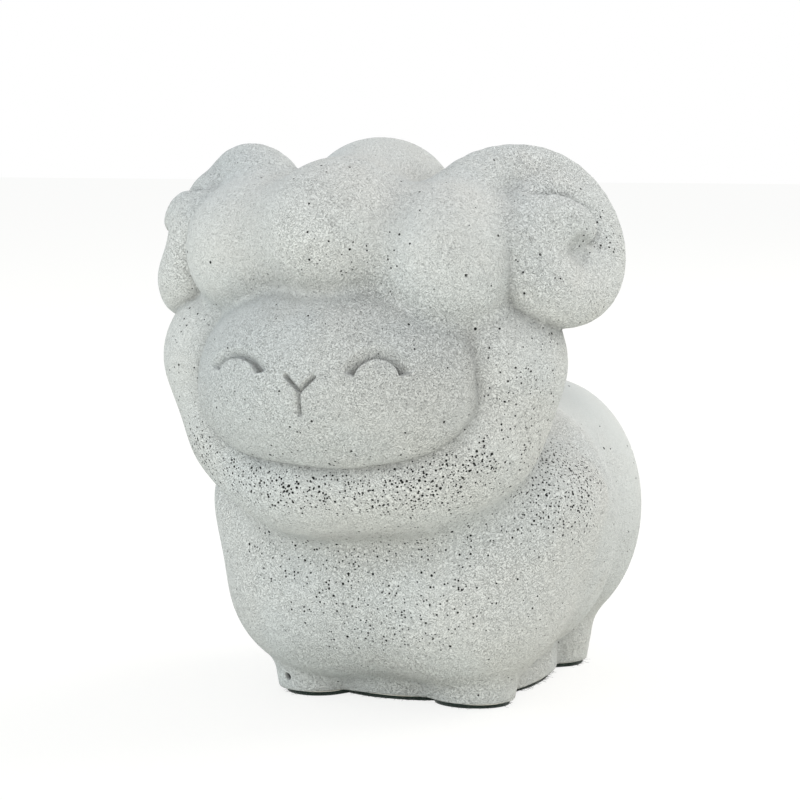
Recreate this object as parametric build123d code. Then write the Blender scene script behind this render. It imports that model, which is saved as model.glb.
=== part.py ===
# Sheep figurine: a ram cast in one pour of concrete, standing on a glued felt pad.
# Millimetres. +Z is up, the animal faces -Y, and its left side is +X.
# The origin is on the resting face, in the middle between the four feet.
# Wool lumps, face and tail are stretched balls, and the horns are tapered coils. Their
# curved skins are made of flat facets, about a third of a millimetre or less from the true curve.
import os
from math import cos, pi, radians, sin

from build123d import *

# The pad under the feet
felt_thickness = 0.7
adhesive_thickness = 0.1
pad_inset = 0.7

# Feet, and the low oval plinth between them
foot_spacing_across = 31.0
foot_spacing_along = 41.0
foot_ground_diameter = 12.7
foot_top_diameter = 16.4
foot_height = 12.0
plinth_width = 41.6
plinth_length = 48.6
plinth_height = 10.0

# Body: across the flanks, from chest to tail, and from the table to the back
body_width = 66.0
body_length = 76.0
body_height = 52.0

# Head with its wool, and how far its middle lies in front of the origin and above the body
head_width = 72.0
head_depth = 62.0
head_height = 68.0
head_forward = 33.0
head_rise = 14.0

# Face
face_width = 54.6
face_depth = 42.0
face_height = 35.4
face_forward = 10.0
face_drop = 6.6

# Closed eyes and nose, sunk into the face
groove_depth = 1.5
eye_spacing = 25.2
eye_arc_radius = 3.7
eye_arc_angle = 140.0
eye_line_width = 1.0
eye_rise = 1.5
nose_line_width = 0.9
nose_stem_length = 4.4
nose_arm_reach = 2.7
nose_arm_rise = 2.7

# Horns: each coil opens outward and forward, and leans in towards the head at its top
horn_spacing = 61.0
horn_forward = 29.5
horn_rise = 15.0
horn_outward_angle = 60.0
horn_lean_angle = 12.0
horn_start_angle = 160.0
horn_coil_angle = 465.0
horn_root_coil_radius = 14.5
horn_tip_coil_radius = 3.2
horn_root_diameter = 13.6
horn_tip_diameter = 8.0
horn_root_sink = 6.0
horn_tip_lift = 6.6
horn_core_diameter = 24.0
horn_core_thickness = 10.0
horn_core_lift = 2.5

# Counts of facets: round and down a ball, round and along a horn
ball_sides = 22
ball_bands = 11
horn_sides = 16
horn_bands = 26

# Wool lumps: middles and half sizes as shares of half the width, half the length or depth,
# and the height (body) or half the height (head). Pairs are also mirrored to the other side.
body_lump_shares = [
    ((0, -0.02, 0.51), (0.88, 0.95, 0.42)),  # barrel
    ((0, -0.55, 0.46), (0.64, 0.5, 0.36)),  # breast
    ((0, 0.29, 0.74), (0.76, 0.69, 0.33)),  # back
    ((0, -0.3, 0.94), (0.66, 0.48, 0.24)),  # neck
    ((0, 1.0, 0.65), (0.18, 0.13, 0.13)),  # tail
]
body_pair_shares = [
    ((0.39, -0.5, 0.48), (0.6, 0.52, 0.385)),  # chest
    ((0.56, -0.39, 0.69), (0.55, 0.53, 0.26)),  # shoulder
    ((0.35, -0.52, 0.33), (0.56, 0.5, 0.275)),  # belly
    ((0.59, -0.29, 0.51), (0.46, 0.38, 0.34)),  # side
    ((0.5, 0, 0.57), (0.53, 0.46, 0.45)),  # flank
    ((0.44, 0.53, 0.585), (0.545, 0.45, 0.46)),  # rump
]
head_lump_shares = [
    ((0, 0.06, 0), (0.81, 0.71, 0.76)),  # skull
    ((-0.17, -0.23, -0.69), (0.48, 0.5, 0.34)),  # chin wool, right
    ((0.28, -0.19, -0.65), (0.4, 0.5, 0.33)),  # chin wool, left
    ((-0.03, -0.32, 0.53), (0.38, 0.52, 0.38)),  # middle tuft
    ((0.49, -0.23, 0.4), (0.36, 0.5, 0.41)),  # left tuft
    ((-0.51, -0.19, 0.44), (0.34, 0.48, 0.37)),  # right tuft
    ((-0.04, 0.26, 0.68), (0.36, 0.48, 0.33)),  # crown
]
head_pair_shares = [
    ((0.65, -0.06, -0.12), (0.36, 0.45, 0.4)),  # cheek wool
    ((0.55, -0.11, -0.46), (0.36, 0.47, 0.37)),  # jaw wool
    ((0.42, 0.55, 0.29), (0.42, 0.42, 0.44)),  # nape
]

pad_top = felt_thickness + adhesive_thickness
head_middle = Vector(0, -head_forward, body_height + head_rise)
face_middle = head_middle - Vector(0, face_forward, face_drop)
face_half_sizes = Vector(face_width, face_depth, face_height) / 2


def solid_of(polygons):
    """A solid closed by flat faces."""
    return Solid(Shell([Face(Wire.make_polygon(points)) for points in polygons]))


def ball(middle, half_sizes):
    """A faceted ball with three half sizes, whose facets straddle the true surface."""
    swell = 1 / cos(pi / ball_sides)
    turns = [2 * pi * (side + 0.5) / ball_sides for side in range(ball_sides)]

    def point(turn, tilt):
        unit = (sin(tilt) * cos(turn), sin(tilt) * sin(turn), cos(tilt))
        return middle + Vector(*[swell * h * u for h, u in zip(half_sizes, unit)])

    rings = [[point(turn, pi * band / ball_bands) for turn in turns] for band in range(1, ball_bands)]
    top, bottom = point(0, 0), point(0, pi)
    polygons = []
    for a in range(ball_sides):
        b = (a + 1) % ball_sides
        polygons.append([top, rings[0][a], rings[0][b]])
        polygons.append([bottom, rings[-1][b], rings[-1][a]])
        for upper, lower in zip(rings, rings[1:]):
            polygons.append([upper[a], lower[a], lower[b], upper[b]])
    return solid_of(polygons)


def lumps(shares, sides, middle, half_sizes):
    """A ball for each lump of a table, on each of the sides, 1 for left and -1 for right."""
    solids = []
    for place, size in shares:
        half = [h * s for h, s in zip(half_sizes, size)]
        for side in sides:
            offset = Vector(*[h * p for h, p in zip(half_sizes, place)])
            offset.X *= side
            solids.append(ball(middle + offset, half))
    return solids


def horn():
    """The left horn: a coil that tapers to a rounded tip, over a core that fills its middle."""
    turned = radians(horn_outward_angle)
    leaned = radians(horn_lean_angle)
    outward = Vector(sin(turned) * cos(leaned), -cos(turned) * cos(leaned), sin(leaned))
    backward = Vector(cos(turned), sin(turned), 0)
    upward = outward.cross(backward)
    middle = Vector(horn_spacing / 2, -horn_forward, head_middle.Z + horn_rise)

    def along(share):
        """A point of the coil's centre line, with share from 0 at the root to 1 at the tip."""
        angle = radians(horn_start_angle - horn_coil_angle * share)
        radius = horn_root_coil_radius + (horn_tip_coil_radius - horn_root_coil_radius) * share
        lift = (horn_root_sink + horn_tip_lift) * sin(share * pi / 2) - horn_root_sink
        flat = backward * (radius * cos(angle)) + upward * (radius * sin(angle))
        return middle + flat + outward * lift

    rings = []
    for band in range(horn_bands + 1):
        share = band / horn_bands
        step = 1 / horn_bands
        heading = (along(share + step) - along(share - step)).normalized()
        first = outward.cross(heading).normalized()
        second = heading.cross(first)
        radius = (horn_root_diameter + (horn_tip_diameter - horn_root_diameter) * share) / 2
        turns = [2 * pi * side / horn_sides for side in range(horn_sides)]
        rings.append([along(share) + (first * cos(t) + second * sin(t)) * radius for t in turns])

    polygons = [rings[0], list(reversed(rings[-1]))]
    for near, far in zip(rings, rings[1:]):
        for a in range(horn_sides):
            b = (a + 1) % horn_sides
            polygons.append([near[a], far[a], far[b]])
            polygons.append([near[a], far[b], near[b]])
    coil = solid_of(polygons)
    tip_radius = horn_tip_diameter / 2
    tip = ball(along(1), (tip_radius, tip_radius, tip_radius))
    core_plane = Plane(middle + outward * horn_core_lift, x_dir=backward, z_dir=outward)
    core_radius = horn_core_diameter / 2
    core = ball(Vector(0, 0, 0), (core_radius, core_radius, horn_core_thickness / 2))
    return [coil, tip, core_plane.location * core]


def foot_places():
    """The middles of the four feet."""
    across = foot_spacing_across / 2
    along = foot_spacing_along / 2
    return [(x, y) for x in (across, -across) for y in (along, -along)]


def stance():
    """Four feet that widen upward, and the oval plinth between them, on top of the pad."""
    foot = Cone(foot_ground_diameter / 2, foot_top_diameter / 2, foot_height - pad_top,
                align=(Align.CENTER, Align.CENTER, Align.MIN))
    solids = [Pos(x, y, pad_top) * foot for x, y in foot_places()]
    outline = Ellipse(plinth_width / 2, plinth_length / 2)
    solids.append(Pos(0, 0, pad_top) * extrude(outline, plinth_height - pad_top).solid())
    return solids


def pad_layer(bottom, thickness):
    """A flat sheet cut to the outline of the feet and the plinth, set in from its edge."""
    outline = Ellipse(plinth_width / 2 - pad_inset, plinth_length / 2 - pad_inset)
    for x, y in foot_places():
        outline += Pos(x, y) * Circle(foot_ground_diameter / 2 - pad_inset)
    return Pos(0, 0, bottom) * extrude(outline, thickness)


def stroke(start, end):
    """A straight line of the nose with round ends."""
    return SlotCenterPoint(((start[0] + end[0]) / 2, (start[1] + end[1]) / 2), end, nose_line_width)


def face_grooves():
    """Two eyes closed in a smile, and a nose like a Y that branches at the middle of the face."""
    junction = (0, 0)
    marks = stroke(junction, (0, -nose_stem_length))
    arc_start = 90 - eye_arc_angle / 2
    for side in (1, -1):
        marks += stroke(junction, (side * nose_arm_reach, nose_arm_rise))
        eye_middle = (side * eye_spacing / 2, eye_rise)
        arc = CenterArc(eye_middle, eye_arc_radius, arc_start, eye_arc_angle)
        marks += SlotArc(arc, eye_line_width)
    front = Plane(face_middle, x_dir=(1, 0, 0), z_dir=(0, -1, 0))
    floor = ball(face_middle, face_half_sizes - Vector(groove_depth, groove_depth, groove_depth))
    return extrude(front * marks, face_depth / 2 + groove_depth) - floor


def casting():
    """The whole animal in one piece, flat underneath."""
    body_half_sizes = (body_width / 2, body_length / 2, body_height)
    head_half_sizes = (head_width / 2, head_depth / 2, head_height / 2)
    origin = Vector(0, 0, 0)
    solids = lumps(body_lump_shares, (1,), origin, body_half_sizes)
    solids += lumps(body_pair_shares, (1, -1), origin, body_half_sizes)
    solids += lumps(head_lump_shares, (1,), head_middle, head_half_sizes)
    solids += lumps(head_pair_shares, (1, -1), head_middle, head_half_sizes)
    solids.append(ball(face_middle, face_half_sizes))
    left_horn = horn()
    solids += left_horn + [mirror(solid, about=Plane.YZ) for solid in left_horn]
    solids += stance()
    whole = solids[0].fuse(*solids[1:])
    return whole - face_grooves()


os.makedirs("parts", exist_ok=True)
export_step(casting(), "parts/concrete_casting.step")
export_step(pad_layer(felt_thickness, adhesive_thickness), "parts/pad_adhesive.step")
export_step(pad_layer(0, felt_thickness), "parts/felt_pad.step")
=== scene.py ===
"""Looks of the sheep figurine: cast concrete on a dark green felt pad, in a pale studio.

Lengths are in millimetres until a mesh is made, and then in metres, in the frame of the CAD part:
+Z is up, the animal faces -Y and its left side is +X.
"""

from math import cos, pi, radians, sin

import bmesh
import bpy
import numpy as np
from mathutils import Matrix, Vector


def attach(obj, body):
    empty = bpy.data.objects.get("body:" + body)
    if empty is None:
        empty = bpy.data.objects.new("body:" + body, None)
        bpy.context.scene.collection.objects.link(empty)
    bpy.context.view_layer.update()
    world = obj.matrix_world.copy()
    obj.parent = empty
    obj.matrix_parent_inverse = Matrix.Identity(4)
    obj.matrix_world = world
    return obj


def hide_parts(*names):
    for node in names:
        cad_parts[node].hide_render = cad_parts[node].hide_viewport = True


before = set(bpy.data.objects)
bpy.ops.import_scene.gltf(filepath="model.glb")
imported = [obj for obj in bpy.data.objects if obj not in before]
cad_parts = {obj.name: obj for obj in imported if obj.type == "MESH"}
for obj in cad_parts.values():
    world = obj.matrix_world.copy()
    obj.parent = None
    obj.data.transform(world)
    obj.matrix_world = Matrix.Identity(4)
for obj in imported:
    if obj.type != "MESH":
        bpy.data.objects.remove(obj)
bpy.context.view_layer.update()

MM = 0.001
F = np.float32  # the fields are worked out in single precision

# Shape of the casting

PAD_TOP = 0.8  # where the concrete starts, above the felt and its adhesive

# Wool lumps as balls with three half sizes: (middle, half sizes, mirrored, blend of the two
# mirrored balls with each other, blend with the lumps before them)
BODY = [
    ((0, -2, 27), (29, 35, 22), False, 0, 0),  # barrel
    ((13, -19, 25), (19.5, 19.5, 20), True, 8, 8),  # chest
    ((19, -15, 36), (17.2, 17.7, 12.2), True, 0, 9),  # shoulders
    ((11, -21, 17.5), (16.5, 17, 13), True, 8, 7),  # belly
    ((16.5, 1, 29.5), (16, 16, 22), True, 0, 9),  # flanks
    ((14.5, 20, 30.5), (17.8, 16.8, 23.8), True, 8, 5),  # rump
    ((0, 12, 38), (22, 24, 16), False, 0, 8),  # back
    ((0, -12, 50), (20, 17, 12), False, 0, 8),  # neck
    ((0, 38, 34), (6, 5, 7), False, 0, 2),  # tail
]
RUFF = [
    ((23.1, -35, 62), (12.7, 14, 13.5), False, 0, 0),  # cheek, left
    ((-24, -35, 62), (13.4, 14, 13.5), False, 0, 0),  # cheek, right
    ((19.8, -36.5, 50), (12, 14.5, 12), True, 0, 6),  # jaws
    ((-6, -40, 42.5), (17, 15.5, 11.2), False, 0, 6),  # chin, right
    ((10, -39, 44), (14, 15.5, 11), False, 0, 6),  # chin, left
]
CAP = [
    ((-1, -43, 84), (13.6, 16, 13), False, 0, 0),  # middle tuft
    ((17.5, -40, 79.5), (12.8, 15.5, 13.8), False, 0, 5.5),  # left tuft
    ((-18.5, -39, 81), (12, 15, 12.5), False, 0, 6),  # right tuft
    ((-1.4, -25, 89), (12.5, 15, 11.1), False, 0, 4),  # crown
    ((15, -16, 76), (15, 13, 15), True, 12, 6.5),  # nape
    ((0, -14, 68.5), (15, 11, 13), False, 0, 7),  # nape, middle
]
SKULL = ((0, -31, 66), (29, 22, 26))
RUFF_BLEND, CAP_BLEND = 3, 2.2

FACE_MIDDLE, FACE_HALF, FACE_POWER = (0.3, -43, 59.4), (27, 21, 17.6), 2.25
FACE_TAPER = 0.06  # how much wider the face is at its chin than halfway up
FACE_REACH = 14  # turns a share of the face's half sizes into a distance
FACE_GROOVE_WIDTH, FACE_GROOVE_DEPTH = 2.6, 0.55
# Where the groove starts to show going down, where it grows going left, and its faintest share
FACE_GROOVE_TOP, FACE_GROOVE_RIGHT, FAINTEST_FACE_GROOVE = (68, -8), (-24, 24), 0.65

# The wool under the chin runs softly into the chest, and the head's sides less so
NECK_BLEND, CHIN_BLEND_ADDED, CHIN_FRONT = 3.5, 3, (-30, -14)

PLINTH_HALF, PLINTH_POWER, PLINTH_HEIGHT, PLINTH_BLEND = (20.5, 24), 2.6, 12, 3
FOOT_PLACE, FOOT_RADIUS, FOOT_FLARE, FOOT_HEIGHT, FOOT_BLEND = (15.5, 20.5), 6.3, 0.17, 14, 2
WIDE_FOOT = 1.2  # how much wider the front left foot is, towards the middle
FOOT_SHIFT = 0.8  # how much further out the front right foot stands

# The left horn: its coil lies in a plane that faces outward and forward and leans in
HORN_MIDDLE, HORN_OUTWARD, HORN_LEAN = (30.5, -29.5, 81), 60, 12
HORN_CORE, HORN_CORE_LIFT, HORN_CORE_BLEND = (12, 5, 12), 3.9, 3.0
# The shallow pit under the tip: its middle backward, upward and outward of the horn's middle
HORN_PIT, HORN_PIT_RADIUS, HORN_PIT_BLEND = (0.1, -1.6, 9.8), 2.3, 1.5
# Stations from root to tip: angle round the coil, coil radius, lift out of its plane, thickness
HORN_STATIONS = [
    (160, 14.5, -7.5, 8.0),
    (128, 13.5, -5.2, 7.2),
    (97, 12.6, -3.0, 6.4),
    (60, 11.9, -1.4, 5.9),
    (20, 10.6, 0.2, 5.7),
    (-20, 9.4, 1.8, 5.4),
    (-60, 8.6, 3.2, 5.3),
    (-100, 8.4, 3.8, 5.4),
    (-140, 8.6, 3.8, 5.6),
    (-185, 8.0, 4.0, 5.8),
    (-225, 5.9, 4.8, 5.4),
    (-270, 3.6, 5.8, 4.7),
    (-315, 3.2, 6.2, 4.0),
    (-345, 3.8, 5.6, 3.2),
]
HORN_POINTS = 44  # along the centre line
TIP_START = 0.6  # where the inner turn starts, as a share of the coil
TIP_GROOVE_WIDTH, TIP_GROOVE_DEPTH, TIP_BLEND = 2.2, 1.5, 3.0
TIP_GROOVE_BACK, TIP_GROOVE_UP, TIP_GROOVE_FRONT = (0, 4), (2, 5), (-8.5, 4)  # where it shows
# The horns grow smoothly out of the wool at their tops and press into it lower down
HORN_ROOT_BLEND, HORN_GROOVE_WIDTH, HORN_GROOVE_DEPTH = 2.5, 2.8, 0.7
HORN_GROOVE_TOP, HORN_GROOVE_BOTTOM = (88, -8), (62, 10)

# Bounds outside which the body, the head or the horns need not be worked out
BODY_TOP, HEAD_BOTTOM, HORNS_BOTTOM, HORNS_INSIDE = 62, 24, 58, 10
FAR_AWAY = 50
SOLE_EDGE = 0.5  # how far the casting's lower edge is rounded

# Marks sunk into the face, seen from in front: two eyes closed in a smile and a nose like a Y.
# Each mark drops slowly from its outer or upper side and ends in a crisp edge on the other.
EYE_MIDDLE, EYE_RADIUS, EYE_ANGLES = (12.6, 60.9), 3.7, (18, 162)
EYE_STRETCH = {1: (1.0, 1.0), -1: (1.19, 0.82)}  # the right eye is wider and flatter
EYE_DEPTH, EYE_MIDDLE_SHARE, EYE_END_SHARE = 1.5, 0.8, 0.5
NOSE_JOINT, NOSE_ARM, NOSE_STEM, NOSE_DEPTH = (0.0, 58.7), (2.7, 61.3), (0.0, 55.0), 1.2
CRISP_WIDTH, EYE_SLOPE, NOSE_SLOPE, MARK_END = 0.25, 2.3, 1.0, 0.45
SOFT_SIDE_POWER = 1.6  # how hollow the slope on a mark's soft side is

# Larger air holes, open to the outside: middle and radius
VOIDS = [
    ((-18.8, -26.9, 3.4), 0.6),
    ((-17.2, -27.6, 5.0), 0.34),
    ((25.8, -39.2, 90.4), 0.2),
    ((34.3, -42.7, 81.0), 0.2),
    ((24.9, -52.5, 77.8), 0.22),
]
VOID_DEPTH = 0.8
VOID_RIM, VOID_WALL = 1.25, 0.5  # where the hole starts and how wide its wall is, in radii

# How far round the marks and the larger air holes the mesh is divided, in two rounds
DIVIDED_MARGINS, VOID_MARGIN, WIDE_EYE_MARGIN = (3.0, 2.5), 0.9, 0.7


def smooth_min(a, b, blend):
    """The union of two fields, filleted over the blend width."""
    if np.ndim(blend) == 0 and blend <= 0:
        return np.minimum(a, b)
    h = np.clip(blend - np.abs(a - b), 0, None) / blend
    return np.minimum(a, b) - h * h * (blend * F(0.25))


def smooth_max(a, b, blend):
    """What two fields have in common, filleted over the blend width."""
    return -smooth_min(-a, -b, blend)


def crease(a, b, width, depth):
    """The union of two fields with a groove sunk along the line where they meet."""
    h = np.clip(1 - np.abs(a - b) / F(width), 0, None)
    return np.minimum(a, b) + h * h * depth


def rise(value, start, width):
    """How many widths the value lies past the start, counted backward if the width is negative."""
    return (value - F(start)) / F(width)


def ramp(value, start, width):
    """From 0 at the start to 1 a width further on."""
    return np.clip(rise(value, start, width), 0, 1)


def smooth_step(share):
    """Eases a share from 0 to 1 at both ends."""
    return share * share * (3 - 2 * share)


def ball(p, middle, half, turn=None):
    """Distance, near the surface, to a ball with three half sizes. The rows of turn are its axes."""
    q = [p[i] - F(middle[i]) for i in range(3)]
    if turn is not None:
        q = [sum(q[j] * F(turn[i][j]) for j in range(3)) for i in range(3)]
    s = [q[i] / F(half[i]) for i in range(3)]
    share = np.sqrt(s[0] * s[0] + s[1] * s[1] + s[2] * s[2])
    g = [s[i] / F(half[i]) for i in range(3)]
    growth = np.sqrt(g[0] * g[0] + g[1] * g[1] + g[2] * g[2])
    return share * (share - 1) / np.maximum(growth, F(1e-6))


def lumps(p, table):
    """The blended union of a table of wool lumps."""
    d = None
    m = (np.abs(p[0]), p[1], p[2])
    for middle, half, mirrored, own_blend, blend in table:
        if not mirrored:
            e = ball(p, middle, half)
        else:
            e = ball(m, middle, half)
            if own_blend:
                e = smooth_min(e, ball(m, (-middle[0], *middle[1:]), half), own_blend)
        d = e if d is None else smooth_min(d, e, blend)
    return d


def smooth_stations(table, count):
    """Points along a smooth curve through the stations."""
    keys = np.array(table, float)
    keys = np.vstack([2 * keys[0] - keys[1], keys, 2 * keys[-1] - keys[-2]])
    t = np.linspace(0, len(table) - 1, count)
    i = np.minimum(t.astype(int), len(table) - 2)
    u = (t - i)[:, None]
    a, b, c, d = (keys[i + n] for n in range(4))
    return 0.5 * (2 * b + (c - a) * u + (2 * a - 5 * b + 4 * c - d) * u**2
                  + (3 * b - a - 3 * c + d) * u**3)


def horn_axes():
    """The directions outward from the left horn's coil, backward in its plane and upward in it."""
    a, b = radians(HORN_OUTWARD), radians(HORN_LEAN)
    outward = np.array([sin(a) * cos(b), -cos(a) * cos(b), sin(b)])
    backward = np.array([cos(a), sin(a), 0.0])
    return outward, backward, np.cross(outward, backward)


HORN_AXES = horn_axes()


def horn_runs():
    """The left horn's coil as short runs, each with its two ends and the radius at each end."""
    outward, backward, upward = HORN_AXES
    s = smooth_stations(HORN_STATIONS, HORN_POINTS)
    a = np.radians(s[:, :1])
    points = np.array(HORN_MIDDLE) + s[:, 1:2] * (np.cos(a) * backward + np.sin(a) * upward)
    points = points + s[:, 2:3] * outward
    radii = s[:, 3]
    return list(zip(points, points[1:], radii, radii[1:]))


HORN_RUNS = horn_runs()


def tapered_run(p, a, b, radius_a, radius_b):
    """Distance to a round bar from a to b whose radius changes from one end to the other."""
    along = b - a
    q = [p[i] - F(a[i]) for i in range(3)]
    h = np.clip(sum(q[i] * F(along[i]) for i in range(3)) / F(along @ along), 0, 1)
    square = sum((q[i] - h * F(along[i])) ** 2 for i in range(3))
    return np.sqrt(square) - (F(radius_a) + F(radius_b - radius_a) * h)


def union_of_runs(p, runs):
    """Distance to the nearest of the runs."""
    d = tapered_run(p, *runs[0])
    for run in runs[1:]:
        d = np.minimum(d, tapered_run(p, *run))
    return d


def horns(p):
    """Both horns: a tapered coil round a core, with a groove along its inner turn."""
    m = (np.abs(p[0]), p[1], p[2])
    split = int(np.ceil(len(HORN_RUNS) * TIP_START))
    outer = union_of_runs(m, HORN_RUNS[:split])
    inner = union_of_runs(m, HORN_RUNS[split:])
    outward, backward, upward = HORN_AXES
    core_middle = np.array(HORN_MIDDLE) + HORN_CORE_LIFT * outward
    core = ball(m, core_middle, HORN_CORE, (backward, outward, upward))
    base = smooth_min(outer, core, HORN_CORE_BLEND)
    # The tip presses a groove into the coil, which fades where the tip runs into the horn's middle
    q = [m[i] - F(HORN_MIDDLE[i]) for i in range(3)]
    back = sum(q[i] * F(backward[i]) for i in range(3))
    up = sum(q[i] * F(upward[i]) for i in range(3))
    behind, above = rise(back, *TIP_GROOVE_BACK), rise(up, *TIP_GROOVE_UP)
    pressed = smooth_step(np.clip(smooth_max(behind, above, 0.5), 0, 1))
    pressed = pressed * ramp(back, *TIP_GROOVE_FRONT)
    grooved = crease(base, inner, TIP_GROOVE_WIDTH, TIP_GROOVE_DEPTH)
    coil = pressed * grooved + (1 - pressed) * smooth_min(base, inner, TIP_BLEND)
    pit = np.array(HORN_MIDDLE)
    for reach, axis in zip(HORN_PIT, (backward, upward, outward)):
        pit = pit + reach * axis
    from_pit = np.sqrt(sum((m[i] - F(pit[i])) ** 2 for i in range(3)))
    return smooth_max(coil, F(HORN_PIT_RADIUS) - from_pit, HORN_PIT_BLEND)


def foot_offsets(x, y, end):
    """Distances across and along from the middle of the nearer foot, end being -1 at the front."""
    across = np.abs(x) - F(FOOT_PLACE[0])
    if end < 0:
        outer_edge = F(FOOT_PLACE[0] + FOOT_RADIUS)
        across = np.where(x > 0, (x - outer_edge) / F(WIDE_FOOT) + F(FOOT_RADIUS), across)
    return across, y - F(FOOT_PLACE[1] * end)


def plinth_and_feet(p, d):
    """The field d with the plinth and the four feet blended into it."""
    x, y = np.abs(p[0]) / F(PLINTH_HALF[0]), np.abs(p[1]) / F(PLINTH_HALF[1])
    side = ((x**PLINTH_POWER + y**PLINTH_POWER) ** F(1 / PLINTH_POWER) - 1) * F(PLINTH_HALF[0])
    d = smooth_min(d, np.maximum(side, p[2] - F(PLINTH_HEIGHT)), PLINTH_BLEND)
    for end in (-1, 1):
        shifted = p[0] + F(FOOT_SHIFT) * (p[0] < 0) if end < 0 else p[0]
        across, along = foot_offsets(shifted, p[1], end)
        foot = np.sqrt(across**2 + along**2) - (F(FOOT_RADIUS) + F(FOOT_FLARE) * p[2])
        d = smooth_min(d, np.maximum(foot, p[2] - F(FOOT_HEIGHT)), FOOT_BLEND)
    return d


def face(p):
    """Distance to the face: a ball that is squarer seen from in front, and wider at its chin."""
    q = [(p[i] - F(FACE_MIDDLE[i])) / F(FACE_HALF[i]) for i in range(3)]
    q[0] = q[0] / (1 - F(FACE_TAPER) * np.clip(q[2], -1, 1))
    ring = (np.abs(q[0]) ** FACE_POWER + np.abs(q[2]) ** FACE_POWER) ** F(2 / FACE_POWER)
    return (np.sqrt(ring + q[1] * q[1]) - 1) * F(FACE_REACH)


def head(p):
    """Distance to the head without its horns."""
    d = smooth_min(ball(p, *SKULL), lumps(p, RUFF), RUFF_BLEND)
    # The groove round the face is deepest below it on its left, and ends under the brow
    across = np.maximum(ramp(p[0], *FACE_GROOVE_RIGHT), F(FAINTEST_FACE_GROOVE))
    shown = ramp(p[2], *FACE_GROOVE_TOP) * across
    d = crease(d, face(p), FACE_GROOVE_WIDTH, FACE_GROOVE_DEPTH * shown)
    return smooth_min(d, lumps(p, CAP), CAP_BLEND)


def casting_field(p):
    """Signed distance to the whole casting. Parts out of reach of the points are left out."""
    low, high = float(p[2].min()), float(p[2].max())
    d = np.full(p[0].shape, F(FAR_AWAY))
    if low < BODY_TOP:
        d = plinth_and_feet(p, lumps(p, BODY))
    if high > HEAD_BOTTOM:
        softness = F(NECK_BLEND) + F(CHIN_BLEND_ADDED) * ramp(p[1], *CHIN_FRONT)
        d = smooth_min(d, head(p), softness)
    if high > HORNS_BOTTOM and float(np.abs(p[0]).max()) > HORNS_INSIDE:
        h = horns(p)
        pressed = ramp(p[2], *HORN_GROOVE_TOP) * ramp(p[2], *HORN_GROOVE_BOTTOM)
        groove = np.clip(1 - np.abs(d - h) / F(HORN_GROOVE_WIDTH), 0, None) ** 2
        d = smooth_min(d, h, HORN_ROOT_BLEND) + F(HORN_GROOVE_DEPTH) * pressed * groove
    return smooth_max(d, F(PAD_TOP) - p[2], SOLE_EDGE)


# From field to mesh

GRID_STEP = 0.4
LOW, HIGH = np.array([-44.0, -66.0, -1.0]), np.array([44.0, 45.0, 102.0])
BLOCK = 20  # steps along the side of a block
HALF_DIAGONAL, SLACK = 0.87, 1.35  # of a block, and for places where the field grows faster
CORNERS = np.array([(i, j, k) for i in (0, 1) for j in (0, 1) for k in (0, 1)])
CHUNK = 40000  # points worked out at a time
PROBE = 0.05  # how far to each side the field is compared for its gradient
SETTLE_ROUNDS, LEAST_SQUARE, LONGEST_MOVE = 2, 0.05, 0.5  # the last as a share of a step


def sample(field, step):
    """The field on a grid, worked out only in the blocks that the surface may pass through."""
    counts = [int(np.ceil((b - a) / step / BLOCK)) for a, b in zip(LOW, HIGH)]
    axes = [(LOW[i] + step * np.arange(counts[i] * BLOCK + 1)).astype(F) for i in range(3)]
    values = np.empty([len(a) for a in axes], F)
    middles = [(a[:-1:BLOCK] + F(step * BLOCK / 2)) for a in axes]
    coarse = field(np.meshgrid(*middles, indexing="ij"))
    reach = step * BLOCK * HALF_DIAGONAL * SLACK
    for i in range(counts[0]):
        for j in range(counts[1]):
            for k in range(counts[2]):
                part = tuple(slice(n * BLOCK, n * BLOCK + BLOCK + 1) for n in (i, j, k))
                if abs(coarse[i, j, k]) > reach:
                    values[part] = coarse[i, j, k]
                else:
                    lines = [a[s] for a, s in zip(axes, part)]
                    values[part] = field(np.meshgrid(*lines, indexing="ij"))
    return values


def net(values, step):
    """Points and quads of the surface where the sampled field is zero."""
    inside = values < 0
    shape = [n - 1 for n in values.shape]
    total = np.zeros(shape, np.int8)
    for c in CORNERS:
        total += inside[tuple(slice(c[i], c[i] + shape[i]) for i in range(3))]
    cells = np.argwhere((total > 0) & (total < 8))
    number = np.full(shape, -1, np.int32)
    number[tuple(cells.T)] = np.arange(len(cells))

    place, crossings = np.zeros((len(cells), 3)), np.zeros(len(cells))
    for a in CORNERS:
        for axis in range(3):
            if a[axis]:
                continue
            b = a.copy()
            b[axis] = 1
            va, vb = values[tuple((cells + a).T)], values[tuple((cells + b).T)]
            cut = (va < 0) != (vb < 0)
            t = va[cut] / (va[cut] - vb[cut])
            place[cut] += a + t[:, None] * (b - a)
            crossings[cut] += 1
    points = LOW + step * (cells + place / crossings[:, None])

    quads = []
    for axis in range(3):
        u, v = (axis + 1) % 3, (axis + 2) % 3
        first = tuple(slice(0, -1) if i == axis else slice(None) for i in range(3))
        second = tuple(slice(1, None) if i == axis else slice(None) for i in range(3))
        edges = np.argwhere(inside[first] != inside[second])
        within = (edges[:, u] > 0) & (edges[:, v] > 0)
        within &= (edges[:, u] < shape[u]) & (edges[:, v] < shape[v])
        edges = edges[within]
        around = []
        for du, dv in ((1, 1), (0, 1), (0, 0), (1, 0)):
            cell = edges.copy()
            cell[:, u] -= du
            cell[:, v] -= dv
            around.append(number[tuple(cell.T)])
        quad = np.stack(around, 1)
        outward = inside[tuple(edges.T)]
        quad[~outward] = quad[~outward][:, ::-1]
        quads.append(quad)
    return points, np.concatenate(quads)


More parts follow.
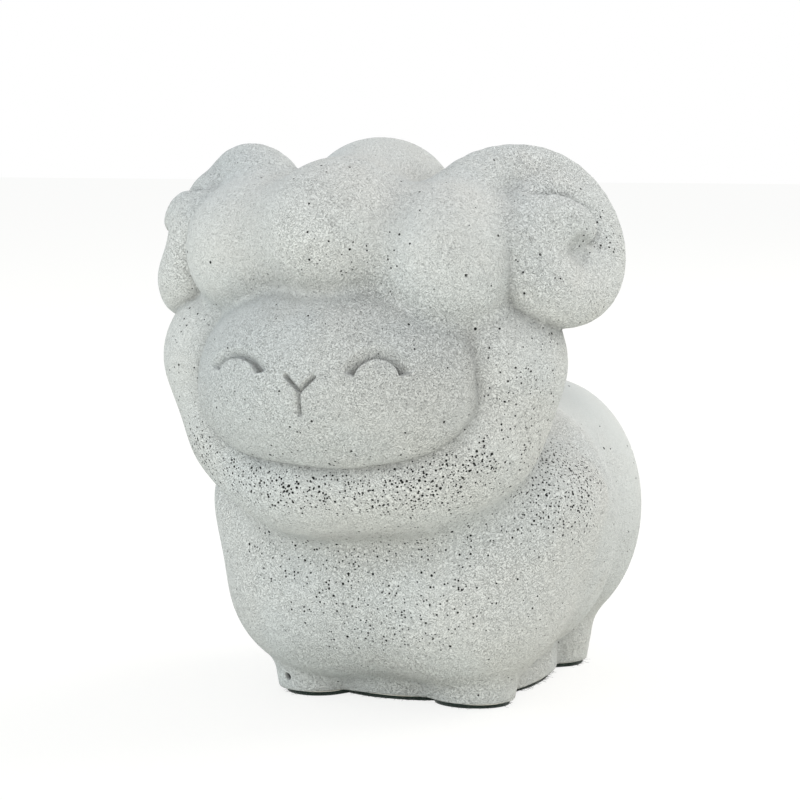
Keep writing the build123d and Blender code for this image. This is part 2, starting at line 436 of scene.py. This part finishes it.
def in_chunks(field, x, y, z):
    """The field at points, a chunk at a time."""
    out = np.empty(len(x), F)
    for s in range(0, len(x), CHUNK):
        out[s:s + CHUNK] = field((x[s:s + CHUNK], y[s:s + CHUNK], z[s:s + CHUNK]))
    return out


def slope(field, points):
    """The field and its gradient at points."""
    place = points.astype(F).T
    gradient = []
    for axis in range(3):
        ahead, behind = list(place), list(place)
        ahead[axis] = place[axis] + F(PROBE)
        behind[axis] = place[axis] - F(PROBE)
        change = in_chunks(field, *ahead).astype(float) - in_chunks(field, *behind).astype(float)
        gradient.append(change / (2 * PROBE))
    return in_chunks(field, *place).astype(float), np.stack(gradient, 1)


def surface_normals(points):
    gradient = slope(casting_field, points)[1]
    return gradient / np.linalg.norm(gradient, axis=1, keepdims=True)


def settle(field, points, step):
    """Moves the points onto the surface, in a few rounds of short moves."""
    for _ in range(SETTLE_ROUNDS):
        d, g = slope(field, points)
        square = np.maximum((g * g).sum(1), LEAST_SQUARE)
        move = -(d / square)[:, None] * g
        length = np.linalg.norm(move, axis=1, keepdims=True)
        points = points + move * np.minimum(1, LONGEST_MOVE * step / np.maximum(length, 1e-9))
    return points


def mesh_object(name, points, faces):
    """A smooth-shaded mesh object from points in millimetres."""
    mesh = bpy.data.meshes.new(name)
    mesh.vertices.add(len(points))
    mesh.vertices.foreach_set("co", (np.asarray(points, float) * MM).astype(F).ravel())
    faces = np.asarray(faces, np.int32)
    sides = faces.shape[1]
    mesh.loops.add(faces.size)
    mesh.loops.foreach_set("vertex_index", faces.ravel())
    mesh.polygons.add(len(faces))
    mesh.polygons.foreach_set("loop_start", np.arange(0, faces.size, sides, dtype=np.int32))
    mesh.polygons.foreach_set("use_smooth", np.ones(len(faces), bool))
    mesh.update(calc_edges=True)
    mesh.validate()
    made = bpy.data.objects.new(name, mesh)
    bpy.context.scene.collection.objects.link(made)
    return made


def mark_depth(along, across, length, depth, slope_width):
    """How deep a mark is at places given along it, from 0 to length, and across it, soft side up."""
    beyond = np.maximum(np.maximum(-along, along - length), 0)
    near = np.where(across > 0, across / slope_width, -across / CRISP_WIDTH)
    reach = np.clip(1 - np.hypot(near, beyond / MARK_END), 0, 1)
    return depth * np.where(across > 0, reach**SOFT_SIDE_POWER, smooth_step(reach))


def stroke_depth(x, z, end, soft_side):
    """Depth of a straight line of the nose, from its joint to the end."""
    run = np.subtract(end, NOSE_JOINT)
    length = float(np.hypot(*run))
    u = run / length
    dx, dz = x - NOSE_JOINT[0], z - NOSE_JOINT[1]
    along = dx * u[0] + dz * u[1]
    across = (dz * u[0] - dx * u[1]) * soft_side
    return mark_depth(along, across, length, NOSE_DEPTH, NOSE_SLOPE)


def eye_depth(x, z, side):
    """Depth of an eye, which is deepest at the ends of its arc."""
    wide, tall = EYE_STRETCH[side]
    dx, dz = (x - side * EYE_MIDDLE[0]) / wide, (z - EYE_MIDDLE[1]) / tall
    low, high = np.radians(EYE_ANGLES)
    angle = np.arctan2(dz, dx)
    angle = np.where(angle < -pi / 2, angle + 2 * pi, angle)
    share = np.clip((angle - low) / (high - low), 0, 1)
    depth = EYE_DEPTH * (EYE_MIDDLE_SHARE + EYE_END_SHARE * (2 * share - 1)**2)
    across = np.hypot(dx, dz) - EYE_RADIUS
    return mark_depth((angle - low) * EYE_RADIUS, across, (high - low) * EYE_RADIUS, depth, EYE_SLOPE)


def marks(x, z):
    """Depth of the eyes and the nose under the face, seen from in front."""
    deepest = stroke_depth(x, z, NOSE_STEM, -1)
    for side in (1, -1):
        deepest = np.maximum(deepest, eye_depth(x, z, side))
        arm = (side * NOSE_ARM[0], NOSE_ARM[1])
        deepest = np.maximum(deepest, stroke_depth(x, z, arm, side))
    return deepest


def near_marks(points, margin):
    """Which points of the face lie within the margin of a mark."""
    x, y, z = points.T
    from_arc = np.abs(np.hypot(np.abs(x) - EYE_MIDDLE[0], z - EYE_MIDDLE[1]) - EYE_RADIUS)
    eye = (from_arc < margin + WIDE_EYE_MARGIN) & (z > EYE_MIDDLE[1] - margin)
    nose = np.abs(x) < NOSE_ARM[0] + margin
    nose &= (z > NOSE_STEM[1] - margin) & (z < NOSE_ARM[1] + margin)
    return (eye | nose) & (y < FACE_MIDDLE[1])


def void_depths(points):
    """How far the larger air holes sink each point."""
    depth = np.zeros(len(points))
    for middle, radius in VOIDS:
        distance = np.linalg.norm(points - np.array(middle), axis=1)
        reach = np.clip((VOID_RIM * radius - distance) / (VOID_WALL * radius), 0, 1)
        depth = np.maximum(depth, VOID_DEPTH * reach)
    return depth


def near_voids(points):
    """Which points lie in or round one of the larger air holes."""
    close = np.zeros(len(points), bool)
    for middle, radius in VOIDS:
        close |= np.linalg.norm(points - np.array(middle), axis=1) < radius + VOID_MARGIN
    return close


def places_of(piece):
    """The places of a piece's vertices, in millimetres."""
    co = np.empty(len(piece.data.vertices) * 3, F)
    piece.data.vertices.foreach_get("co", co)
    return co.reshape(-1, 3).astype(float) / MM


def add_attribute(piece, name, values):
    """Gives each vertex a value that a material can read."""
    attribute = piece.data.attributes.new(name, "FLOAT", "POINT")
    attribute.data.foreach_set("value", values.astype(F))


def carve_marks(piece, step):
    """Divides the mesh finely round the eyes, the nose and the larger holes, and sinks them."""
    mesh = piece.data
    work = bmesh.new()
    work.from_mesh(mesh)
    for margin in DIVIDED_MARGINS:
        work.verts.ensure_lookup_table()
        points = np.array([v.co[:] for v in work.verts]) / MM
        close = near_marks(points, margin) | near_voids(points)
        edges = [e for e in work.edges if close[e.verts[0].index] and close[e.verts[1].index]]
        bmesh.ops.subdivide_edges(work, edges=edges, cuts=1, use_grid_fill=True)
        work.verts.index_update()
    work.to_mesh(mesh)
    work.free()
    points = places_of(piece)
    chosen = np.nonzero(near_marks(points, DIVIDED_MARGINS[0]) | near_voids(points))[0]
    spots = settle(casting_field, points[chosen], step)
    on_face = near_marks(spots, DIVIDED_MARGINS[0])
    depth = np.where(on_face, marks(spots[:, 0], spots[:, 2]), void_depths(spots))
    points[chosen] = spots - surface_normals(spots) * depth[:, None]
    # How far into a larger air hole each point lies, for the painted shade in it
    void_shade = np.zeros(len(points))
    void_shade[chosen] = void_depths(spots) / VOID_DEPTH
    add_attribute(piece, "void_shade", void_shade)
    mesh.vertices.foreach_set("co", (points * MM).astype(F).ravel())
    mesh.polygons.foreach_set("use_smooth", np.ones(len(mesh.polygons), bool))
    mesh.update()


def make_casting():
    """The whole animal as one closed mesh."""
    points, quads = net(sample(casting_field, GRID_STEP), GRID_STEP)
    points = settle(casting_field, points, GRID_STEP)
    piece = mesh_object("concrete_figure", points, quads)
    carve_marks(piece, GRID_STEP)
    return piece


casting = make_casting()
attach(casting, "root")
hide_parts("concrete_casting")


# Concrete

# Where the cast trapped air, as middle and half sizes in millimetres and strength
AIRY = [
    ((8, -53, 44.3), (25, 9, 4.9), 1.25),  # under the chin
    ((-22, -49, 48), (6, 8, 6), 0.8),
    ((-29, -46, 61), (7, 8, 9), 0.15),
    ((31, -24, 41), (8, 10, 7), 1.0),  # shoulder
    ((31, -44, 57), (9, 9, 9), 0.2),  # wool beside the face
    ((25, -46, 48), (10, 9, 6), 0.36),
    ((20, -37, 34), (9, 8, 5), 0.24),  # chest
    ((-10, -38, 27), (9, 7, 4), 0.26),
    ((2, -38, 25), (10, 8, 8), 0.25),
    ((10, -38, 31), (8, 8, 6), 0.3),
    ((14, -38, 21), (8, 8, 5), 0.25),
    ((-5, -38, 17), (7, 7, 4), 0.3),
    ((4, -38, 16), (10, 8, 4), 0.38),
    ((27, -32, 21), (8, 10, 7), 0.06),
    ((5, -56, 79), (7, 7, 4), 0.14),  # tuft
    ((40, -26, 84), (4, 6, 4), 0.25),  # horn
    ((-26, 20, 24), (12, 12, 8), 0.3),  # rump and tail, out of the photograph's sight
    ((6, 34, 46), (14, 10, 8), 0.2),
]
LEAST_PITTING, FACE_PITTING, FACE_MARGIN = 0.012, 0.1, 1.2
# Where the skin is smoother
SMOOTH = [
    ((-18, -48, 84), (10, 12, 11), 0.35),  # right tuft
    ((0, -25, 98), (14, 14, 7), 0.35),  # crown
    ((18, -46, 86), (9, 11, 9), 0.25),  # left tuft
    ((16, 22, 44), (17, 20, 17), 0.8),  # rump
    ((-30, -40, 64), (7, 12, 12), 0.35),  # wool on the right of the face
    ((-10, 16, 46), (20, 26, 18), 0.5),  # back
]
FULL_GRAIN = 0.95
SPOT_REACH = 1.7  # how far a spot reaches, in its half sizes
# Heights above the skin where creases are felt for, to paint shade in them, and the share of open space
# in the open
FEELER_HEIGHTS, OPEN_SHARE = (0.8, 1.8, 3.5), 0.94

# Scales of the textures, in features per metre
PATCH_SCALE, STRENGTH_SCALE, CLUSTER_SCALE, CLOUD_SCALE = 45, 85, 150, 160
WARP_SCALE, SKIN_SCALE, NICK_SCALE, SAND_SCALE = 600, 2300, 3000, 4200
WARP_REACH = 0.9 * MM
CREASE_WIDTH = 0.06  # of the skin's creases, as a difference in its noise
# Painted light: the skin's upper sides are found by this offset and painted lighter
LIT_SIDE = (0.04 * MM, 0, 0.1 * MM)  # the way in which the skin's upper sides are found
SKIN_HEIGHT, SAND_HEIGHT, NICK_DEPTH, HOLE_DEPTH = 0.085 * MM, 0.06 * MM, 0.1 * MM, 0.35 * MM
# How much each kind of relief lightens or darkens the colour, as painted light and shade, and the skin's
# mean
SKIN_TONE, SAND_TONE, LIT_TONE, NICK_TONE, CREASE_SHADE_TONE = 0.1, 0.22, 0.11, -0.3, -0.34
SKIN_MEAN, RELIEF_SHADING_ADDED, BASE_TONE = 0.7, 0.1, 0.97
COOL_GREY, WARM_GREY = (0.499, 0.519, 0.516, 1), (0.511, 0.520, 0.507, 1)
# Small air holes: cells per metre, least and greatest radius as shares of a cell, commonness
AIR_HOLES = ((1100, 0.15, 0.31, 0.72), (1700, 0.21, 0.38, 1.0))
# HOLE_SHADE is the painted shade inside the air holes, as a share of the colour
HOLE_SHADE, HOLE_RIM, SMALL_HOLE_BIAS = 0.03, 0.85, 1.6


class Nodes:
    """Short calls for building the node tree of a new material or world."""

    def __init__(self, owner, output="OutputMaterial"):
        self.owner = owner
        owner.use_nodes = True
        self.tree = owner.node_tree
        self.tree.nodes.clear()
        self.out = self.add(output)

    def add(self, kind, inputs=None, **settings):
        node = self.tree.nodes.new("ShaderNode" + kind)
        for key, value in settings.items():
            setattr(node, key, value)
        for key, value in (inputs or {}).items():
            if isinstance(value, bpy.types.NodeSocket):
                self.tree.links.new(value, node.inputs[key])
            else:
                node.inputs[key].default_value = value
        return node

    def math(self, operation, a, b=0.5, c=0.5):
        return self.add("Math", {0: a, 1: b, 2: c}, operation=operation).outputs[0]

    def vector(self, operation, a, b):
        return self.add("VectorMath", {0: a, 1: b}, operation=operation).outputs[0]

    def noise(self, place, scale, detail=2.0, roughness=0.5):
        inputs = {"Vector": place, "Scale": scale, "Detail": detail, "Roughness": roughness}
        return self.add("TexNoise", inputs).outputs["Fac"]

    def range(self, value, low, high, to_low=0.0, to_high=1.0, kind="SMOOTHSTEP"):
        inputs = {"Value": value, "From Min": low, "From Max": high, "To Min": to_low, "To Max": to_high}
        return self.add("MapRange", inputs, interpolation_type=kind).outputs["Result"]

    def mix(self, factor, a, b):
        """A colour between a, where the factor is 0, and b, where it is 1."""
        return self.add("Mix", {0: factor, 6: a, 7: b}, data_type="RGBA").outputs[2]

    def shaded(self, colour, tone):
        """The colour, multiplied by a tone that is the same in red, green and blue."""
        grey = self.add("CombineColor", {0: tone, 1: tone, 2: tone}).outputs[0]
        inputs = {0: 1, 6: colour, 7: grey}
        return self.add("Mix", inputs, data_type="RGBA", blend_type="MULTIPLY").outputs[2]

    def place(self):
        return self.add("TexCoord").outputs["Object"]

    def attribute(self, name):
        return self.add("Attribute", attribute_name=name).outputs["Fac"]

    def normal(self, height):
        """Bumps with a height in metres."""
        return self.add("Bump", {"Strength": 1.0, "Distance": 1.0, "Height": height}).outputs[0]

    def seen(self):
        """1 where the camera looks, also through glass and in reflections, and otherwise 0."""
        path = self.add("LightPath").outputs
        either = self.math("MAXIMUM", path["Is Camera Ray"], path["Is Glossy Ray"])
        return self.math("MAXIMUM", either, path["Is Transmission Ray"])

    def finish(self, shader):
        """Shows the shader, and gives back the material or world."""
        self.tree.links.new(shader, self.out.inputs[0])
        return self.owner


def near_spots(points, spots):
    """The strongest of the spots at each point: full at a spot's heart, fading out round it."""
    weight = np.zeros(len(points))
    for middle, half, strength in spots:
        distance = np.linalg.norm((points - np.array(middle)) / np.array(half), axis=1)
        weight = np.maximum(weight, strength * np.clip(SPOT_REACH - distance, 0, 1))
    return weight


def pit_weights(points):
    """How many air holes the concrete shows at each point. The face has few."""
    x, y, z = points.T
    beside_face = np.clip(face((x, y, z)) / FACE_MARGIN, FACE_PITTING, 1)
    return np.maximum(near_spots(points, AIRY) * beside_face, LEAST_PITTING)


# Weights for the painted shade in creases
def crease_shade_weights(points):
    """From 0 on open surface to 1 deep in a crease, by how fast the field grows off the surface."""
    outward = surface_normals(points)
    closed = np.zeros(len(points))
    for height in FEELER_HEIGHTS:
        lifted = (points + outward * height).astype(F)
        open_share = in_chunks(casting_field, *lifted.T) / height
        closed += np.clip(OPEN_SHARE - open_share, 0, 1) / len(FEELER_HEIGHTS)
    return np.clip(closed, 0, 1)


def skin_relief(n, place):
    """A leathery skin: 1 on its grains, and 0 in the thin creases between them."""
    ridges = n.math("ABSOLUTE", n.math("SUBTRACT", n.noise(place, SKIN_SCALE, 2, 0.6), 0.5))
    return n.range(ridges, 0, CREASE_WIDTH)


def air_holes(n, place, pitting):
    """Small holes: one at most in each cell, of random width, where the cast trapped air."""
    hole = 0.0
    for scale, narrow, wide, commonness in AIR_HOLES:
        cells = n.add("TexVoronoi", {"Vector": place, "Scale": scale, "Randomness": 1})
        luck = n.add("SeparateColor", {0: cells.outputs["Color"]})
        clusters = n.range(n.noise(place, CLUSTER_SCALE), 0.25, 0.45)
        wanted = n.math("MULTIPLY", clusters, pitting)
        is_open = n.math("LESS_THAN", luck.outputs[0], n.math("MULTIPLY", wanted, commonness))
        size = n.math("POWER", luck.outputs[1], SMALL_HOLE_BIAS)
        width = n.range(size, 0, 1, narrow, wide, "LINEAR")
        depth = n.range(cells.outputs["Distance"], n.math("MULTIPLY", width, HOLE_RIM), width, 1, 0)
        hole = n.math("MAXIMUM", hole, n.math("MULTIPLY", depth, is_open))
    return hole


def concrete_material():
    """Pale grey cast concrete, finely grained, with small air holes."""
    n = Nodes(bpy.data.materials.new("cast_concrete"))
    place = n.place()

    # Relief: a leathery skin, sand and nicks, and how strongly they show from place to place
    strength = n.range(n.noise(place, STRENGTH_SCALE), 0.3, 0.7, 0.8, 1.3, "LINEAR")
    strength = n.math("MULTIPLY", strength, n.attribute("grain"))
    warp = n.add("TexNoise", {"Vector": place, "Scale": WARP_SCALE, "Detail": 1}).outputs["Color"]
    bent = n.vector("ADD", place, n.vector("MULTIPLY", warp, (WARP_REACH, WARP_REACH, WARP_REACH)))
    skin = skin_relief(n, bent)
    painted_lit_side = n.math("SUBTRACT", skin, skin_relief(n, n.vector("ADD", bent, LIT_SIDE)))
    sand = n.range(n.noise(place, SAND_SCALE, 1), 0.3, 0.7, 0, 1, "LINEAR")
    nick = n.range(n.noise(bent, NICK_SCALE, 1), 0.4, 0.3)

    # Colour: cool and warm patches, cloudy tones, painted shade in the low places of the relief and in
    # creases, and painted light on the grains' upper sides
    patches = n.range(n.noise(place, PATCH_SCALE, 3, 0.55), 0.35, 0.65)
    colour = n.mix(patches, COOL_GREY, WARM_GREY)
    clouds = n.range(n.noise(place, CLOUD_SCALE, 4, 0.6), 0.25, 0.75, 0.985, 1.015, "LINEAR")
    # Painted light and shade of the fine relief: lighter on raised sand and on the grains' upper sides,
    # darker in the skin's creases and in nicks
    sand_shading = n.math("MULTIPLY", n.math("SUBTRACT", sand, 0.5), SAND_TONE)
    relief_shading = n.math("MULTIPLY_ADD", n.math("SUBTRACT", skin, SKIN_MEAN), SKIN_TONE, sand_shading)
    relief_shading = n.math("MULTIPLY_ADD", painted_lit_side, LIT_TONE, relief_shading)
    relief_shading = n.math("MULTIPLY_ADD", nick, NICK_TONE, relief_shading)
    relief_shading = n.math("ADD", relief_shading, RELIEF_SHADING_ADDED)
    tone = n.math("MULTIPLY", clouds, n.math("MULTIPLY_ADD", relief_shading, strength, BASE_TONE))
    # Painted shade: the colour is darker deep in creases and between the lumps, where shade falls
    tone = n.math("MULTIPLY", tone, n.math("MULTIPLY_ADD", n.attribute("crease_shade"), CREASE_SHADE_TONE, 1.0))

    # Painted shade: the small air holes and the larger air holes are painted nearly black inside, where
    # shade falls in them
    hole = air_holes(n, place, n.attribute("pitting"))
    hole_shade_mask = n.math("MAXIMUM", hole, n.attribute("void_shade"))
    tone = n.math("MULTIPLY", tone, n.range(hole_shade_mask, 0, 1, 1, HOLE_SHADE, "LINEAR"))

    height = n.math("MULTIPLY_ADD", skin, SKIN_HEIGHT, n.math("MULTIPLY", sand, SAND_HEIGHT))
    height = n.math("MULTIPLY_ADD", nick, -NICK_DEPTH, height)
    height = n.math("MULTIPLY", height, strength)
    height = n.math("SUBTRACT", height, n.math("MULTIPLY", hole, HOLE_DEPTH))
    shader = n.add("BsdfPrincipled", {"Base Color": n.shaded(colour, tone), "Roughness": 0.88,
                                      "Specular IOR Level": 0.3, "Normal": n.normal(height)})
    return n.finish(shader.outputs[0])


casting_points = places_of(casting)
add_attribute(casting, "pitting", pit_weights(casting_points))
add_attribute(casting, "grain", FULL_GRAIN - near_spots(casting_points, SMOOTH))
# How deep in a crease each point lies, for the painted shade in creases
add_attribute(casting, "crease_shade", crease_shade_weights(casting_points))
casting.data.materials.append(concrete_material())


# Felt pad and adhesive

FELT_THICKNESS, PAD_INSET, PAD_POWER = 0.7, 0.7, 2.15
FELT_GREEN, FELT_NAP = (0.014, 0.024, 0.019, 1), 0.15 * MM
CLEAR_FILM, MILKY_FILM = (0.62, 0.6, 0.52, 1), (0.76, 0.75, 0.68, 1)
# Scales of the textures, in features per metre
FELT_TONE_SCALE, FELT_NAP_SCALE, FILM_CLOUD_SCALE, FILM_ROUGH_SCALE = 1500, 2500, 220, 900
FOOT_EASE = 0.05  # how much the felt is cut wider round the feet
RIM_POINTS, RIM_SEARCHES, RIM_BOUND = 720, 40, 40.0
# The felt's edge, as height and how far it stands out of the cut
EDGE_PROFILE = ((0, -0.12), (0.1, 0.02), (0.35, 0.06), (0.6, 0.02), (FELT_THICKNESS, -0.12))
EDGE_WANDER, WANDER_SMOOTHING = 0.05, 9
FIBRES, FIBRE_RADIUS, FIBRE_TAPER, FIBRE_SINK = 900, 0.035, 0.6, 0.15
FIBRE_SHARES = (0, 0.35, 0.7, 1.0)  # where along a fibre its rings of points lie
FIBRE_LOWEST, FIBRE_HIGHEST = 0.05, 0.75
PAD_SEED, FUZZ_SEED = 7, 11


def felt_material():
    """Dark green felt with a short nap."""
    n = Nodes(bpy.data.materials.new("felt"))
    place = n.place()
    tone = n.range(n.noise(place, FELT_TONE_SCALE, 3, 0.6), 0.3, 0.7, 0.7, 1.3, "LINEAR")
    colour = n.shaded(FELT_GREEN, tone)
    height = n.math("MULTIPLY", n.noise(place, FELT_NAP_SCALE, 3, 0.7), FELT_NAP)
    shader = n.add("BsdfPrincipled", {"Base Color": colour, "Roughness": 0.95,
                                      "Specular IOR Level": 0.2, "Sheen Weight": 0.3,
                                      "Sheen Roughness": 0.5, "Normal": n.normal(height)})
    return n.finish(shader.outputs[0])


def adhesive_material():
    """A thin clear film that has gone slightly milky in patches."""
    n = Nodes(bpy.data.materials.new("adhesive_film"))
    place = n.place()
    cloud = n.range(n.noise(place, FILM_CLOUD_SCALE, 3, 0.6), 0.3, 0.7)
    colour = n.mix(cloud, CLEAR_FILM, MILKY_FILM)
    rough = n.range(n.noise(place, FILM_ROUGH_SCALE), 0.3, 0.7, 0.35, 0.6, "LINEAR")
    shader = n.add("BsdfPrincipled", {"Base Color": colour, "Roughness": rough})
    return n.finish(shader.outputs[0])


def pad_field(x, y):
    """Signed distance, in plan, to the pad: the plinth and the feet, set in from their edge."""
    half = [h - PAD_INSET for h in PLINTH_HALF]
    u, v = np.abs(x) / half[0], np.abs(y) / half[1]
    d = ((u**PAD_POWER + v**PAD_POWER) ** (1 / PAD_POWER) - 1) * half[0]
    for end in (-1, 1):
        foot = np.hypot(*foot_offsets(x, y, end)) - (FOOT_RADIUS + FOOT_EASE - PAD_INSET)
        d = np.minimum(d, foot)
    return d


def pad_outline():
    """Points round the pad, found along rays from its middle."""
    angles = np.linspace(0, 2 * pi, RIM_POINTS, endpoint=False)
    near, far = np.zeros(RIM_POINTS), np.full(RIM_POINTS, RIM_BOUND)
    for _ in range(RIM_SEARCHES):
        half = (near + far) / 2
        inside = pad_field(half * np.cos(angles), half * np.sin(angles)) < 0
        near, far = np.where(inside, half, near), np.where(inside, far, half)
    return np.stack([near * np.cos(angles), near * np.sin(angles)], 1)


def make_fuzz():
    """Loose fibres that stand out of the felt's cut edge: thin tapered tubes along bent paths."""
    rng = np.random.default_rng(FUZZ_SEED)
    rim = pad_outline()
    shares = np.array(FIBRE_SHARES)[:, None]
    points, faces = [], []
    for _ in range(FIBRES):
        number = rng.integers(len(rim))
        outward = rim[number] / np.linalg.norm(rim[number])
        along = np.array([-outward[1], outward[0]])
        run = outward * rng.uniform(0.3, 1.0) + along * rng.normal(0, 0.7)
        start = np.array([*(rim[number] - FIBRE_SINK * outward), rng.uniform(0.08, 0.6)])
        way = np.array([*run, rng.normal(-0.1, 0.3)]) * rng.uniform(0.45, 1.5) * rng.uniform(0.5, 1)
        path = start + way * shares + rng.normal(0, 0.3, 3) * shares**2
        path[:, 2] = np.clip(path[:, 2], FIBRE_LOWEST, FIBRE_HIGHEST)
        first = len(points)
        for place, share in zip(path, FIBRE_SHARES):
            radius = FIBRE_RADIUS * (1 - FIBRE_TAPER * share)
            for turn in (0, 2 * pi / 3, 4 * pi / 3):
                side = np.array([*(along * cos(turn)), sin(turn)])
                points.append(place + side * radius)
        for ring in range(len(FIBRE_SHARES) - 1):
            low, high = first + 3 * ring, first + 3 * ring + 3
            for a in range(3):
                b = (a + 1) % 3
                faces.append((low + a, low + b, high + b, high + a))
    return mesh_object("felt_fuzz", points, faces)


def make_pad():
    """The felt sheet, with a wavy cut edge that is a little rounded."""
    rng = np.random.default_rng(PAD_SEED)
    rim = pad_outline()
    count = len(rim)
    noise = np.tile(rng.normal(0, 1, count), 3)
    weights = np.hanning(WANDER_SMOOTHING) / (WANDER_SMOOTHING / 2)
    wander = np.convolve(noise, weights, "same")[count:2 * count]
    outward = rim / np.linalg.norm(rim, axis=1, keepdims=True)
    rim = rim + outward * (EDGE_WANDER * wander)[:, None]
    points, faces = [], []
    for height, out in EDGE_PROFILE:
        points += [(x, y, height) for x, y in rim + outward * out]
    for level in range(len(EDGE_PROFILE) - 1):
        low, high = level * count, (level + 1) * count
        for a in range(count):
            b = (a + 1) % count
            faces.append((low + a, low + b, high + b, high + a))
    middle_bottom, middle_top = len(points), len(points) + 1
    points += [(0, 0, 0), (0, 0, FELT_THICKNESS)]
    top = (len(EDGE_PROFILE) - 1) * count
    for a in range(0, count, 2):
        b, c = (a + 1) % count, (a + 2) % count
        faces.append((middle_bottom, c, b, a))
        faces.append((middle_top, top + a, top + b, top + c))
    return mesh_object("felt_sheet", points, faces)


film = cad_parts["pad_adhesive"]
film.data.materials.clear()
film.data.materials.append(adhesive_material())

pad = make_pad()
felt = felt_material()
pad.data.materials.append(felt)
fuzz = make_fuzz()
fuzz.data.materials.append(felt)
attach(fuzz, "root")
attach(pad, "root")
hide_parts("felt_pad")


# Floor, light and camera

FLOOR_REACH = 4000
FLOOR_COLOUR, FLOOR_WHITENESS = (0.94, 0.935, 0.87, 1), 0.8
SKY_COLOUR, SKY_STRENGTH = (0.975, 0.995, 1.02, 1), 0.88
WHITE = (1, 1, 1, 1)
# Softboxes: place, target and size in metres, power in watts and colour
LAMPS = {
    "left": ((-1.1, -0.55, 0.3), (0, -0.02, 0.05), 0.9, 5.7, (0.82, 0.95, 1.0)),
    "right": ((0.8, 0.85, 0.9), (0, -0.02, 0.05), 0.9, 12.5, (1.0, 0.955, 0.87)),
    "top": ((0.0, 0.0, 1.2), (0, 0, 0.05), 0.9, 0.9, (1.0, 1.0, 1.0)),
    "front": ((0.35, -1.2, 0.27), (0, -0.02, 0.05), 0.5, 5.1, (1.0, 0.985, 0.93)),
}
CAMERA_TURN, CAMERA_DISTANCE, CAMERA_HEIGHT = 21.0, 515.0, 103.0
CAMERA_TARGET, CAMERA_LENS = (2.2, -25.0, 54.0), 126.0


def make_floor():
    """A pale floor that keeps the object's shadow and otherwise looks white."""
    corners = [(x * FLOOR_REACH, y * FLOOR_REACH, 0) for x, y in ((-1, -1), (1, -1), (1, 1), (-1, 1))]
    floor = mesh_object("floor", corners, [(0, 1, 2, 3)])
    n = Nodes(bpy.data.materials.new("floor"))
    matt = n.add("BsdfDiffuse", {"Color": FLOOR_COLOUR}).outputs[0]
    glow = n.add("Emission", {"Color": WHITE, "Strength": 1.0}).outputs[0]
    share = n.math("MULTIPLY", n.seen(), FLOOR_WHITENESS)
    both = n.add("MixShader", {0: share, 1: matt, 2: glow}).outputs[0]
    floor.data.materials.append(n.finish(both))
    return floor


def make_world():
    """Light from all round at a plain level, behind which the camera sees white."""
    world = bpy.data.worlds.new("studio")
    bpy.context.scene.world = world
    n = Nodes(world, "OutputWorld")
    light = n.add("Background", {"Color": SKY_COLOUR, "Strength": SKY_STRENGTH}).outputs[0]
    white = n.add("Background", {"Color": WHITE, "Strength": 1.0}).outputs[0]
    n.finish(n.add("MixShader", {0: n.seen(), 1: light, 2: white}).outputs[0])


def area_light(name, place, target, size, power, colour):
    """A square softbox that faces its target."""
    data = bpy.data.lights.new(name, "AREA")
    data.shape, data.size, data.energy, data.color = "SQUARE", size, power, colour
    lamp = bpy.data.objects.new(name, data)
    bpy.context.scene.collection.objects.link(lamp)
    lamp.location = place
    lamp.rotation_euler = (Vector(target) - Vector(place)).to_track_quat("-Z", "Y").to_euler()


def make_camera():
    """Fits the photograph: 21 degrees round to the animal's left and a little above it."""
    data = bpy.data.cameras.new("camera")
    camera = bpy.data.objects.new("camera", data)
    bpy.context.scene.collection.objects.link(camera)
    turn = radians(CAMERA_TURN)
    place = Vector((CAMERA_DISTANCE * sin(turn), -CAMERA_DISTANCE * cos(turn), CAMERA_HEIGHT))
    camera.location = place * MM
    camera.rotation_euler = (Vector(CAMERA_TARGET) - place).to_track_quat("-Z", "Y").to_euler()
    data.sensor_width, data.lens = 36.0, CAMERA_LENS
    data.clip_start, data.clip_end = 0.01, 20.0
    bpy.context.scene.camera = camera


make_floor()
make_world()
for name, settings in LAMPS.items():
    area_light(name, *settings)
make_camera()
bpy.context.scene.view_settings.view_transform = "Standard"
